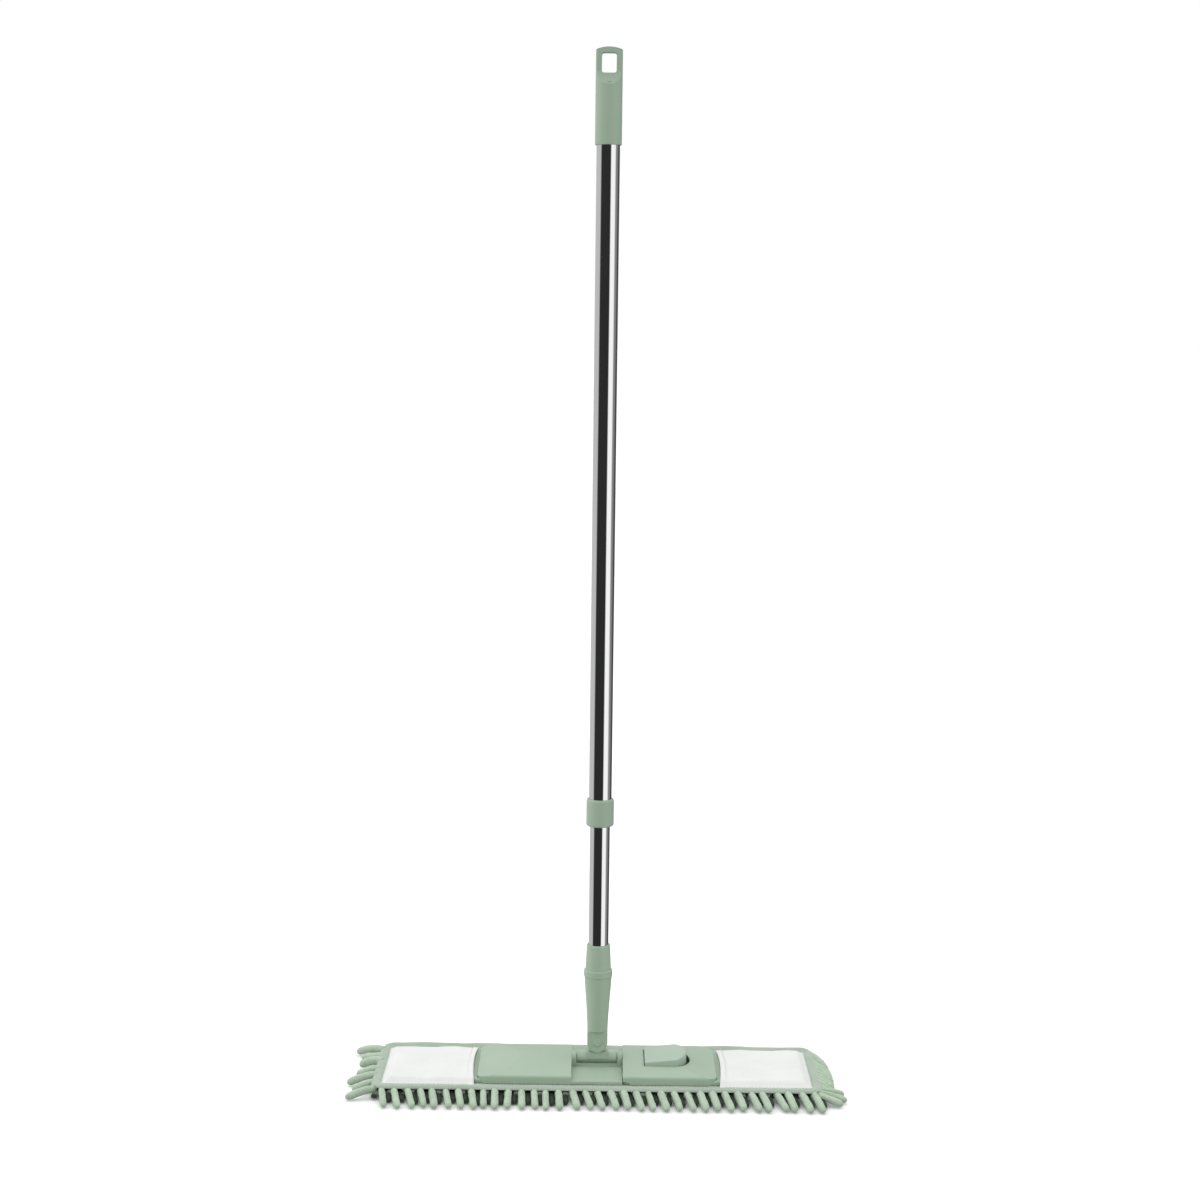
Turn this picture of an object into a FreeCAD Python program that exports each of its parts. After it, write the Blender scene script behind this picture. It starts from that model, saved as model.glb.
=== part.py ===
"""Flat dust mop: a folding two-wing frame in a chenille pocket pad, a two-axis swivel and a telescopic pole.

Units are millimetres. X runs along the head, Y from front to back and Z up. The origin is on the floor
under the pole. The pole stands upright and the frame is latched open.
"""

import math
import os

import FreeCAD
import Part

V = FreeCAD.Vector
X_AXIS = V(1, 0, 0)
Y_AXIS = V(0, 1, 0)
Z_AXIS = V(0, 0, 1)

# --- clearances
SOFT_GAP = 0.3  # between cloth and the plastic that lies on it
RUN_GAP = 0.08  # radial, between a pin and what turns on it
PIN_SEAT = 0.05  # radial, between a pin and what holds it
SLIP_GAP = 0.1  # radial, between a tube and the plug or sleeve on it
SIDE_GAP = 0.4  # between moving parts, side by side

# --- mop pad
PAD_SIDE = 17.0  # how far the cloth shows beside the frame
PAD_CORNER = 16.0
PILE_HEIGHT = 11.0  # noodles pressed flat under the frame
CLOTH = 1.5
BINDING_WIDTH = 13.0
BINDING_THICK = 1.5
FRINGE_END = 20.0  # how far the end noodles reach past the cloth
FRINGE_SIDE = 29.0  # how far the long-side noodles reach past it
FRINGE_HEIGHT = 12.6
FRINGE_CORNER = 34.0
POCKET_CLOTH = 1.2
POCKET_SIDE_ROOM = 3.0  # beside the tip, inside the pocket
POCKET_END_ROOM = 5.5  # past the tip, inside the pocket
POCKET_MOUTH = 2.5  # between the cover and the pocket's mouth

# --- frame
FRAME_DEPTH = 108.0
FRAME_FLOOR = 2.0
BAY_HALF = 28.5  # middle of the head to the inner end of the left cover
BAY_SLIT = 0.7  # between the bay and the folding wing
COVER_LENGTH = 103.5
COVER_WALL = 2.2
COVER_EDGE = 9.6  # heights above the frame's underside
COVER_CROWN = 14.0
COVER_OUTER = 6.6
COVER_FALL = 46.0  # how far from its outer end the cover starts to fall
COVER_ROUND = 3.0
COVER_CORNER = 12.0
COVER_POST_R = 2.6
TIP_LENGTH = 96.0  # the flat tip that goes into the pocket
TIP_INSET = 2.0  # each side, inside the cover's
TIP_TAPER = 6.0  # each side, at its outer end
TIP_THICK = 4.0
TIP_SKIN = 1.8
TIP_CORNER = 14.0
RIB = 1.8
RIB_SPACING = 22.0

# --- swivel bay
DECK_OUTER = 4.0  # deck heights above the frame's underside
DECK_INNER = 5.0
WELL_HALF = 12.0
LIP_WIDTH = 2.2
LIP_RISE = 0.8
LUG_THICK = 5.2
LUG_R = 7.0

# --- wing hinge and latch
HINGE_R = 3.5
HINGE_PIN_R = 1.5
HINGE_SETBACK = 4.5  # hinge axis past the bay's edge
FLOOR_SETBACK = 3.2  # the wing's floor past the hinge axis
BARREL_WEB_TOP = 0.8  # above the hinge axis
BARREL_START = 14.0  # from the middle line to the first barrel
BAY_BARREL = 14.0
TONGUE_HALF = 9.0
TONGUE_THICK = 2.5
TONGUE_REACH = 10.6
TONGUE_LIFT = 4.8  # underside above the frame's underside

# --- pedal
PEDAL_START = 24.5  # from the bay's edge to the pedal's inner edge
PEDAL_LENGTH = 47.0
PEDAL_HALF = 27.0
PEDAL_WALL = 2.2
PEDAL_PROUD = 2.7  # inner end above the cover's crown
PEDAL_RISE = 4.7  # outer end above inner end
PEDAL_CORNER = 11.0
PEDAL_GAP = 0.9
PEDAL_TOE_GAP = 4.0
PEDAL_PIVOT_IN = 7.5  # pivot from the pedal's inner edge
PEDAL_PIVOT_UP = 5.2  # pivot above the frame's underside
PEDAL_PIN_R = 1.5
PEDAL_BOSS_R = 3.0
PEDAL_SKIRT = 6.6  # its lower edge above the wing's floor
SPRING_R = 4.0
SPRING_WIRE = 0.5
SPRING_TURNS = 5
SPRING_FROM_TOE = 12.0

# --- swivel knuckle
BAR_R = 5.5
BAR_LIFT = 13.2  # bar axis above the frame's underside
AXLE_R = 2.5
FORK_RISE = 19.0  # fork pin above the bar
EAR_SETBACK = 2.3  # the ear's rim inside the neck's
EAR_THICK = 6.4
SADDLE_HALF = 12.5
SADDLE_DEPTH = 13.0
FORK_PIN_R = 2.5
RIVET_HEAD_R = 4.4
RIVET_HEAD_THICK = 1.2

# --- pole socket
NECK_R = 11.3
CHEEK_THICK = 4.5
NECK_LENGTH = 13.0  # fork pin to the socket's shoulder
SOCKET_LENGTH = 70.0
SOCKET_RING_HEIGHT = 8.0
SOCKET_RING_STEP = 0.6
STEM_LENGTH = 38.0
STEM_WALL = 3.0
THREAD_LAND = 0.6
THREAD_PITCH = 6.0
FERRULE_HEIGHT = 28.6
FERRULE_WALL = 1.9  # round the tube, at the top
FERRULE_FLARE = 1.3  # wider at the bottom
FERRULE_SEAT = 22.0  # how deep the tube sits in it

# --- telescopic pole
LOWER_TUBE_R = 11.0
TUBE_WALL = 0.5
TUBE_ROOM = 1.0  # radial, between the two tubes
LOWER_TUBE_LENGTH = 600.0
LOWER_TUBE_SHOWN = 135.0  # between ferrule and collar
COLLAR_HEIGHT = 30.5
COLLAR_WALL = 2.7
COLLAR_LIP = 4.0
COLLAR_SLEEVE = 24.0
COLLAR_ROUND = 2.2
UPPER_TUBE_LENGTH = 800.0
PLUG_DEPTH = 20.0
PLUG_FLANGE = 3.0
PLUG_STEM_R = 4.5
PLUG_CONE_SPREAD = 4.0  # the cone's rim past its stem
PLUG_CONE_HEIGHT = 8.0
COLLET_HEIGHT = 34.0
COLLET_SLIT = 1.6

# --- hanging grip
GRIP_LENGTH = 102.0
GRIP_WALL = 1.8
GRIP_SEAT = 65.0  # how far the tube goes into the grip
TAB_THICK = 12.0
TAB_HEIGHT = 33.0
TAB_BLEND_R = 40.0
HOLE_WIDTH = 15.6
HOLE_HEIGHT = 21.0
HOLE_FROM_TOP = 6.0
HOLE_CORNER = 2.5
GRIP_CROWN = 3.0  # rise of the arched top

# --- levels and places that follow
PAD_TOP = PILE_HEIGHT + CLOTH
FRAME_Z = PAD_TOP + SOFT_GAP
COVER_Z = FRAME_Z + FRAME_FLOOR
HALF_DEPTH = FRAME_DEPTH / 2
TIP_HALF = HALF_DEPTH - TIP_INSET
LEFT_EDGE = -BAY_HALF
RIGHT_EDGE = BAY_HALF - BAY_SLIT
WING_EDGE = BAY_HALF
COVER_END = BAY_HALF + COVER_LENGTH
TIP_END = COVER_END + TIP_LENGTH
POCKET_END = TIP_END + POCKET_END_ROOM + POCKET_CLOTH
PAD_HALF_X = POCKET_END + SOFT_GAP + BINDING_WIDTH
PAD_HALF_Y = HALF_DEPTH + PAD_SIDE
BARREL_END = HALF_DEPTH - COVER_WALL - SIDE_GAP
WING_BARREL = (BARREL_END - BARREL_START - BAY_BARREL) / 2 - SIDE_GAP
BAY_BARREL_START = BARREL_START + WING_BARREL + SIDE_GAP
BAY_BARRELS = ((BAY_BARREL_START, BAY_BARREL_START + BAY_BARREL),)
WING_BARRELS = ((BARREL_START, BARREL_START + WING_BARREL), (BARREL_END - WING_BARREL, BARREL_END))
HINGE_X = WING_EDGE + HINGE_SETBACK - BAY_SLIT
HINGE_Z = FRAME_Z + HINGE_R
FLOOR_EDGE = HINGE_X + FLOOR_SETBACK
FOLD_HALF = HINGE_Z + 0.8  # the soft strip that bends, each side of the hinge
UPPER_TUBE_R = LOWER_TUBE_R + TUBE_ROOM + TUBE_WALL
COLLAR_R = UPPER_TUBE_R + COLLAR_WALL
GRIP_R = UPPER_TUBE_R + GRIP_WALL
FERRULE_TOP_R = LOWER_TUBE_R + FERRULE_WALL
FERRULE_BOTTOM_R = FERRULE_TOP_R + FERRULE_FLARE
SOCKET_TOP_R = FERRULE_BOTTOM_R + TUBE_ROOM
SOCKET_RING_R = SOCKET_TOP_R + SOCKET_RING_STEP
STEM_R = LOWER_TUBE_R - TUBE_ROOM
STEM_BORE_R = STEM_R - STEM_WALL
EAR_R = NECK_R - EAR_SETBACK
BAR_Z = FRAME_Z + BAR_LIFT
FORK_Z = BAR_Z + FORK_RISE
SHOULDER_Z = FORK_Z + NECK_LENGTH
SOCKET_Z = SHOULDER_Z + SOCKET_LENGTH
FERRULE_Z = SOCKET_Z + FERRULE_HEIGHT
TUBE_Z = FERRULE_Z - FERRULE_SEAT
TUBE_TOP = TUBE_Z + LOWER_TUBE_LENGTH
COLLAR_Z = FERRULE_Z + LOWER_TUBE_SHOWN
UPPER_Z = COLLAR_Z + COLLAR_LIP
UPPER_TOP = UPPER_Z + UPPER_TUBE_LENGTH
GRIP_Z = UPPER_TOP - GRIP_SEAT
GRIP_TOP = GRIP_Z + GRIP_LENGTH
FAR = 1000.0  # longer than anything that is cut


def box(x0, x1, y0, y1, z0, z1):
    return Part.makeBox(x1 - x0, y1 - y0, z1 - z0, V(x0, y0, z0))


def both_sides(spans):
    """Spans of Y on the back half, and the same on the front half."""
    return [span for a, b in spans for span in ((a, b), (-b, -a))]


def fuse(shapes):
    whole = shapes[0]
    for shape in shapes[1:]:
        whole = whole.fuse(shape)
    return whole.removeSplitter()


def mirrored(shape):
    """The same shape on the other side of the middle of the head."""
    return shape.mirror(V(0, 0, 0), X_AXIS)


def rounded_slab(half_x, half_y, corner, z0, z1):
    """A flat slab about the middle of the head, with round corners."""
    slab = box(-half_x, half_x, -half_y, half_y, z0, z1)
    upright = [e for e in slab.Edges if abs(e.tangentAt(e.FirstParameter).z) > 0.99]
    return slab.makeFillet(corner, upright)


def profile_solid(points, direction):
    """Extrudes a closed polygon along a vector."""
    return Part.Face(Part.makePolygon(points + [points[0]])).extrude(direction)


def turned(points):
    """A solid of revolution about the pole, from points of radius and height joined by straight lines."""
    polygon = Part.makePolygon([V(r, 0, z) for r, z in points + [points[0]]])
    return Part.Face(polygon).revolve(V(0, 0, 0), Z_AXIS, 360)


def tube(outer, inner, z0, z1):
    return Part.makeCylinder(outer, z1 - z0, V(0, 0, z0)).cut(Part.makeCylinder(inner, z1 - z0, V(0, 0, z0)))


def edges_at(shape, z, radius):
    """Full circles of that radius at that height."""
    found = []
    for e in shape.Edges:
        circle = isinstance(e.Curve, Part.Circle) and abs(e.Curve.Radius - radius) < 0.01
        if circle and abs(e.Curve.Center.z - z) < 0.01:
            found.append(e)
    return found


def y_rod(x, z, radius, y0, y1):
    return Part.makeCylinder(radius, y1 - y0, V(x, y0, z), Y_AXIS)


# --- the pad


def pad_layers():
    """The pad's soft layers, each over its whole plan."""
    half_x, half_y = PAD_HALF_X, PAD_HALF_Y
    hem_x, hem_y = half_x - BINDING_WIDTH, half_y - BINDING_WIDTH
    hem_top = PAD_TOP + BINDING_THICK
    hem = rounded_slab(half_x, half_y, PAD_CORNER, PAD_TOP, hem_top)
    hem_corner = max(PAD_CORNER - BINDING_WIDTH, BINDING_THICK)
    hem = hem.cut(rounded_slab(hem_x, hem_y, hem_corner, PAD_TOP, hem_top))
    fringe = rounded_slab(half_x + FRINGE_END, half_y + FRINGE_SIDE, FRINGE_CORNER, 0, FRINGE_HEIGHT)
    fringe = fringe.cut(rounded_slab(half_x, half_y, PAD_CORNER, 0, FRINGE_HEIGHT))
    return {
        "pad_pile": rounded_slab(half_x, half_y, PAD_CORNER, 0, PILE_HEIGHT),
        "pad_cloth": rounded_slab(half_x, half_y, PAD_CORNER, PILE_HEIGHT, PAD_TOP),
        "pad_binding": hem,
        "pad_fringe": fringe,
    }


def pocket():
    """The right pocket: a cloth cap over the wing's tip, open towards the middle of the head."""
    outer_x, inner_x = POCKET_END, COVER_END + POCKET_MOUTH
    half_y = TIP_HALF + POCKET_SIDE_ROOM + POCKET_CLOTH
    under = FRAME_Z + TIP_THICK + SOFT_GAP
    cap = box(inner_x, outer_x, -half_y, half_y, PAD_TOP, under + POCKET_CLOTH)
    room_x, room_y = outer_x - POCKET_CLOTH, half_y - POCKET_CLOTH
    return cap.cut(box(inner_x - 1, room_x, -room_y, room_y, PAD_TOP, under))


def pad_parts():
    fold_a, fold_b = HINGE_X - FOLD_HALF, HINGE_X + FOLD_HALF
    parts, strip = {}, []
    for name, layer in pad_layers().items():
        parts[name + "_left"] = layer.common(box(-FAR, fold_a, -FAR, FAR, -1, FAR))
        parts[name + "_right"] = layer.common(box(fold_b, FAR, -FAR, FAR, -1, FAR))
        strip += layer.common(box(fold_a, fold_b, -FAR, FAR, -1, FAR)).Solids
    parts["pad_fold_strip"] = Part.makeCompound(strip)
    parts["pocket_right"] = pocket()
    parts["pocket_left"] = mirrored(pocket())
    return parts


# --- the frame


def wing_tip():
    """The right wing's flat tip: a thin skin on ribs, tapered and round-cornered."""
    x0, x1 = COVER_END - COVER_CORNER, TIP_END
    inner, outer = TIP_HALF, TIP_HALF - TIP_TAPER
    outline = [V(x0, -inner, FRAME_Z), V(x1, -outer, FRAME_Z), V(x1, outer, FRAME_Z), V(x0, inner, FRAME_Z)]
    tip = profile_solid(outline, V(0, 0, TIP_THICK))
    ends = [e for e in tip.Edges if abs(e.tangentAt(e.FirstParameter).z) > 0.99 and e.Vertexes[0].X > x1 - 1]
    tip = tip.makeFillet(TIP_CORNER, ends)
    top = [e for e in tip.Edges if e.BoundBox.ZMin > FRAME_Z + TIP_THICK - 0.01 and e.BoundBox.XMax > x0 + 1]
    tip = tip.makeFillet(TIP_SKIN / 2, top)
    hollow_top = FRAME_Z + TIP_THICK - TIP_SKIN
    rows = int(2 * outer / RIB_SPACING)
    columns = int(TIP_LENGTH / RIB_SPACING)
    tip = tip.cut(cover_plan(WING_EDGE, COVER_Z, FAR).translated(V(SIDE_GAP, 0, 0)))
    pitch_y = (2 * outer - TIP_CORNER) / rows
    pitch_x = (TIP_LENGTH - TIP_CORNER / 2) / columns
    for i in range(columns):
        for j in range(rows):
            ax = COVER_END + RIB + i * pitch_x
            ay = -outer + TIP_CORNER / 2 + j * pitch_y
            cell = box(ax, ax + pitch_x - RIB, ay, ay + pitch_y - RIB, FRAME_Z - 1, hollow_top)
            tip = tip.cut(cell)
    return tip


def wing_floor():
    """The right wing's floor under its cover, with the plan of the cover."""
    return cover_plan(WING_EDGE, FRAME_Z, COVER_Z)


def cover_plan(x0, z0, z1):
    """A slab with the cover's plan, round at its outer corners."""
    slab = box(x0, COVER_END, -HALF_DEPTH, HALF_DEPTH, z0, z1)
    ends = [
        e for e in slab.Edges if abs(e.tangentAt(e.FirstParameter).z) > 0.99 and e.Vertexes[0].X > COVER_END - 1
    ]
    return slab.makeFillet(COVER_CORNER, ends)


def cover_block(inset, base):
    """The right cover's crowned block, or its hollow when inset by the wall."""
    x0, x1 = WING_EDGE + inset, COVER_END - inset
    y, top, r = HALF_DEPTH - inset, FRAME_Z + COVER_EDGE - inset, max(COVER_ROUND - inset, COVER_ROUND / 4)
    bend = r * (1 - math.sqrt(0.5))
    peak = FRAME_Z + COVER_CROWN - inset
    left = [V(x0, -y, base), V(x0, -y, top - r), V(x0, -y + bend, top - bend), V(x0, -y + r, top)]
    right = [V(x0, y - r, top), V(x0, y - bend, top - bend), V(x0, y, top - r), V(x0, y, base)]
    section = [
        Part.LineSegment(left[0], left[1]).toShape(),
        Part.Arc(left[1], left[2], left[3]).toShape(),
        Part.Arc(left[3], V(x0, 0, peak), right[0]).toShape(),
        Part.Arc(right[0], right[1], right[2]).toShape(),
        Part.LineSegment(right[2], right[3]).toShape(),
        Part.LineSegment(right[3], left[0]).toShape(),
    ]
    crowned = Part.Face(Part.Wire(section)).extrude(V(x1 - x0, 0, 0))
    fall_x, end = COVER_END - COVER_FALL, FRAME_Z + COVER_OUTER - inset
    side = [V(x0, -FAR, base), V(x1, -FAR, base), V(x1, -FAR, end), V(fall_x, -FAR, peak), V(x0, -FAR, peak)]
    return crowned.common(profile_solid(side, V(0, 2 * FAR, 0)))


def cover_posts():
    """Posts under the right cover that snap into the floor."""
    reach = HALF_DEPTH - 4 * COVER_WALL
    places = [(x, y) for x in (WING_EDGE + 14, COVER_END - 16) for y in (-reach, reach)]
    return places


def cover():
    """The right wing's cover, before the pedal's opening is cut."""
    block = cover_block(0, COVER_Z).common(cover_plan(WING_EDGE, COVER_Z, FAR))
    plan = cover_plan(WING_EDGE + COVER_WALL, COVER_Z - 1, FAR)
    hollow = cover_block(COVER_WALL, COVER_Z - 1).common(plan.translated(V(-COVER_WALL, 0, 0)))
    shell = block.cut(hollow)
    posts = []
    for x, y in cover_posts():
        post = Part.makeCylinder(COVER_POST_R, FAR, V(x, y, COVER_Z))
        posts.append(post.common(hollow))
        posts.append(Part.makeCylinder(COVER_POST_R - 1, FRAME_FLOOR, V(x, y, FRAME_Z)))
    return fuse([shell] + posts)


def snap_holes(shape):
    """Cuts the holes that the cover's posts snap into."""
    for x, y in cover_posts():
        shape = shape.cut(Part.makeCylinder(COVER_POST_R - 1 + PIN_SEAT, 3 * FRAME_FLOOR, V(x, y, FRAME_Z - 1)))
    return shape


def bay_deck():
    """The low middle deck with its well, lips and the two lugs that carry the swivel bar."""
    y_lip = WELL_HALF + LIP_WIDTH
    top, edge = FRAME_Z + DECK_INNER, FRAME_Z + DECK_OUTER
    lip = top + LIP_RISE
    half = [(HALF_DEPTH, FRAME_Z), (HALF_DEPTH, edge - 1), (HALF_DEPTH - 1, edge), (y_lip, top), (y_lip - 0.4, lip)]
    half += [(WELL_HALF, lip), (WELL_HALF, COVER_Z)]
    outline = half + [(-y, z) for y, z in reversed(half)]
    deck = profile_solid([V(LEFT_EDGE, y, z) for y, z in outline], V(RIGHT_EDGE - LEFT_EDGE, 0, 0))
    skin = FRAME_Z + DECK_OUTER - COVER_WALL
    for y0, y1 in both_sides([(y_lip + RIB, HALF_DEPTH - COVER_WALL)]):
        deck = deck.cut(box(LEFT_EDGE + RIB, RIGHT_EDGE - RIB, y0, y1, FRAME_Z - 1, skin))
    lugs = []
    for x0 in (LEFT_EDGE, RIGHT_EDGE - LUG_THICK):
        lug = box(x0, x0 + LUG_THICK, -LUG_R, LUG_R, FRAME_Z, BAR_Z)
        lugs.append(lug.fuse(Part.makeCylinder(LUG_R, LUG_THICK, V(x0, 0, BAR_Z), X_AXIS)))
    return fuse([deck] + lugs)


def bay_barrel(y0, y1):
    """One of the bay's hinge barrels, on a web that leaves the wing's floor room to swing under it."""
    web = box(RIGHT_EDGE - 1, HINGE_X, y0, y1, COVER_Z, HINGE_Z + BARREL_WEB_TOP)
    return y_rod(HINGE_X, HINGE_Z, HINGE_R, y0, y1).fuse(web)


def wing_barrel(y0, y1):
    """One of the wing's hinge barrels and the web that joins it to the wing's floor."""
    web = box(HINGE_X, FLOOR_EDGE + RIB, y0, y1, FRAME_Z, HINGE_Z)
    return y_rod(HINGE_X, HINGE_Z, HINGE_R, y0, y1).fuse(web)


def catch_tongue():
    """The bay's tongue that the pedal's tail latches on."""
    z = FRAME_Z + TONGUE_LIFT
    tongue = box(RIGHT_EDGE - 2, RIGHT_EDGE + TONGUE_REACH, -TONGUE_HALF, TONGUE_HALF, z - TONGUE_THICK, z)
    return tongue


def pin_bore(spans, radius):
    return [y_rod(HINGE_X, HINGE_Z, radius, y0 - 1, y1 + 1) for y0, y1 in both_sides(spans)]


def frame_base():
    """Left wing floor and tip, bay, hinge barrels and catch tongue: one moulding."""
    barrels = [bay_barrel(y0, y1) for y0, y1 in both_sides(BAY_BARRELS)]
    left = [mirrored(snap_holes(wing_floor())), mirrored(wing_tip())]
    base = fuse([bay_deck(), catch_tongue()] + left + barrels)
    for bore in pin_bore(BAY_BARRELS, HINGE_PIN_R + PIN_SEAT):
        base = base.cut(bore)
    axle = Part.makeCylinder(AXLE_R + PIN_SEAT, FAR, V(LEFT_EDGE + 1, 0, BAR_Z), X_AXIS)
    return base.cut(axle)


def pedal_frame():
    """The pedal's inner edge and pivot, as x and z."""
    x0 = WING_EDGE + PEDAL_START
    return x0, x0 + PEDAL_PIVOT_IN, FRAME_Z + PEDAL_PIVOT_UP


def pedal_top(x):
    """The height of the pedal's sloping top at x."""
    x0, _, _ = pedal_frame()
    return FRAME_Z + COVER_CROWN + PEDAL_PROUD + PEDAL_RISE * (x - x0) / PEDAL_LENGTH


def wing_base():
    """Right wing floor and tip, hinge barrels and the two posts that carry the pedal."""
    floor = snap_holes(wing_floor())
    floor = floor.cut(box(WING_EDGE - 1, FLOOR_EDGE, -FAR, FAR, FRAME_Z - 1, COVER_Z + 1))
    barrels = [wing_barrel(y0, y1) for y0, y1 in both_sides(WING_BARRELS)]
    x0, pivot_x, pivot_z = pedal_frame()
    post_y = PEDAL_HALF - PEDAL_WALL - SIDE_GAP
    posts = []
    for y0, y1 in both_sides([(post_y - 2 * PEDAL_WALL, post_y)]):
        post = box(pivot_x - PEDAL_BOSS_R, pivot_x + PEDAL_BOSS_R, y0, y1, FRAME_Z, pivot_z)
        posts.append(post.fuse(y_rod(pivot_x, pivot_z, PEDAL_BOSS_R, y0, y1)))
    spring_x = x0 + PEDAL_LENGTH - SPRING_FROM_TOE
    cup = tube(SPRING_R + 1.6, SPRING_R + 0.6, COVER_Z, COVER_Z + 1.6).translated(V(spring_x, 0, 0))
    base = fuse([floor, wing_tip()] + barrels + posts + [cup])
    for y0, y1 in both_sides(BAY_BARRELS):
        swing = y_rod(HINGE_X, HINGE_Z, HINGE_R + SIDE_GAP, y0 - SIDE_GAP, y1 + SIDE_GAP)
        base = base.cut(swing)
    for bore in pin_bore(WING_BARRELS, HINGE_PIN_R + RUN_GAP):
        base = base.cut(bore)
    return base.cut(y_rod(pivot_x, pivot_z, PEDAL_PIN_R + PIN_SEAT, -PEDAL_HALF, PEDAL_HALF))


def pedal_plan(grow, toe, z0, z1):
    """The pedal's plan as a slab: straight at the pivot, arched at the toe, grown by a gap all round."""
    x0 = WING_EDGE + PEDAL_START - grow
    x1 = WING_EDGE + PEDAL_START + PEDAL_LENGTH + toe
    y = PEDAL_HALF + grow
    shoulder = x1 - PEDAL_CORNER
    slab = Part.Face(
        Part.Wire(
            [
                Part.LineSegment(V(x0, -y, z0), V(shoulder, -y, z0)).toShape(),
                Part.Arc(V(shoulder, -y, z0), V(x1, 0, z0), V(shoulder, y, z0)).toShape(),
                Part.LineSegment(V(shoulder, y, z0), V(x0, y, z0)).toShape(),
                Part.LineSegment(V(x0, y, z0), V(x0, -y, z0)).toShape(),
            ]
        )
    ).extrude(V(0, 0, z1 - z0))
    toes = [
        e
        for e in slab.Edges
        if abs(e.tangentAt(e.FirstParameter).z) > 0.99 and abs(e.Vertexes[0].X - shoulder) < 0.1
    ]
    return slab.makeFillet(PEDAL_CORNER / 2, toes)


def pedal():
    """The pedal: a wedge-shaped shell with a boss on its pivot and a tail that reaches the catch tongue."""
    x0, pivot_x, pivot_z = pedal_frame()
    x1 = x0 + PEDAL_LENGTH
    low, high = pedal_top(x0), pedal_top(x1)
    skirt = COVER_Z + PEDAL_SKIRT
    wedge = profile_solid(
        [V(x0 - 1, -FAR, COVER_Z), V(x1 + 1, -FAR, COVER_Z), V(x1 + 1, -FAR, high), V(x0 - 1, -FAR, low)],
        V(0, 2 * FAR, 0),
    )
    block = pedal_plan(0, 0, skirt, FAR).common(wedge)
    rim = [e for e in block.Edges if e.BoundBox.ZMin > skirt + 1 and e.Length > PEDAL_CORNER / 3]
    rim = [e for e in rim if abs(e.tangentAt(e.FirstParameter).z) < 0.5]
    block = block.makeFillet(1.4, rim)
    room = wedge.translated(V(0, 0, -PEDAL_WALL)).common(pedal_plan(-PEDAL_WALL, -PEDAL_WALL, COVER_Z, FAR))
    shell = block.cut(room)
    bosses = []
    boss_y = PEDAL_HALF - PEDAL_WALL - SIDE_GAP - 2 * PEDAL_WALL - SIDE_GAP
    for y0, y1 in both_sides([(boss_y - 2 * PEDAL_WALL, boss_y)]):
        web = box(pivot_x - PEDAL_BOSS_R, pivot_x + PEDAL_BOSS_R, y0, y1, pivot_z, low - 1)
        bosses.append(web.fuse(y_rod(pivot_x, pivot_z, PEDAL_BOSS_R, y0, y1)))
    tail_x = RIGHT_EDGE + TONGUE_REACH + SIDE_GAP
    tail_z = FRAME_Z + TONGUE_LIFT
    tail = box(tail_x, pivot_x, -TONGUE_HALF, TONGUE_HALF, tail_z - TONGUE_THICK / 2, tail_z + TONGUE_THICK)
    web = box(x0 + PEDAL_WALL, pivot_x + PEDAL_BOSS_R, -TONGUE_HALF, TONGUE_HALF, tail_z, low - 1)
    bar = y_rod(pivot_x, pivot_z, PEDAL_BOSS_R, -boss_y, boss_y)
    whole = fuse([shell, tail, web, bar] + bosses)
    whole = whole.cut(y_rod(pivot_x, pivot_z, PEDAL_PIN_R + RUN_GAP, -FAR, FAR))
    spring_x = x1 - SPRING_FROM_TOE
    stud = Part.makeCylinder(SPRING_R - 1, 4, V(spring_x, 0, pedal_top(spring_x) - PEDAL_WALL - 3))
    return fuse([whole, stud])


def pedal_pin():
    _, pivot_x, pivot_z = pedal_frame()
    reach = PEDAL_HALF - PEDAL_WALL - SIDE_GAP
    return y_rod(pivot_x, pivot_z, PEDAL_PIN_R, -reach, reach)


def pedal_spring():
    """The return spring under the pedal's toe."""
    x0, _, _ = pedal_frame()
    spring_x = x0 + PEDAL_LENGTH - SPRING_FROM_TOE
    roof = pedal_top(spring_x) - PEDAL_WALL
    start, height = COVER_Z + SPRING_WIRE, roof - 0.6 - COVER_Z - 2 * SPRING_WIRE
    helix = Part.makeHelix(height / SPRING_TURNS, height, SPRING_R)
    wire = Part.Wire([Part.makeCircle(SPRING_WIRE, V(SPRING_R, 0, 0), Y_AXIS)])
    coil = Part.Wire(helix).makePipeShell([wire], True, True)
    return coil.translated(V(spring_x, 0, start))


def wing_cover():
    """The right cover with the openings for the pedal, the bay's barrels and the tongue."""
    shell = cover().cut(pedal_plan(PEDAL_GAP, PEDAL_TOE_GAP, COVER_Z, FAR))
    for y0, y1 in both_sides(BAY_BARRELS):
        shell = shell.cut(y_rod(HINGE_X, HINGE_Z, HINGE_R + SIDE_GAP, y0 - SIDE_GAP, y1 + SIDE_GAP))
        slot = box(WING_EDGE - 1, HINGE_X, y0 - SIDE_GAP, y1 + SIDE_GAP, FRAME_Z, HINGE_Z + HINGE_R + SIDE_GAP)
        shell = shell.cut(slot)
    for y0, y1 in both_sides(WING_BARRELS):
        shell = shell.cut(y_rod(HINGE_X, HINGE_Z, HINGE_R + SIDE_GAP, y0 - SIDE_GAP, y1 + SIDE_GAP))
    tongue_r = math.hypot(TONGUE_REACH - (HINGE_X - RIGHT_EDGE), TONGUE_LIFT) + SIDE_GAP
    gate = TONGUE_HALF + SIDE_GAP
    shell = shell.cut(box(WING_EDGE - 1, HINGE_X + 1, -gate, gate, FRAME_Z, HINGE_Z + tongue_r))
    return shell.cut(box(WING_EDGE - 1, HINGE_X, -FAR, FAR, FRAME_Z, HINGE_Z))


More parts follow.
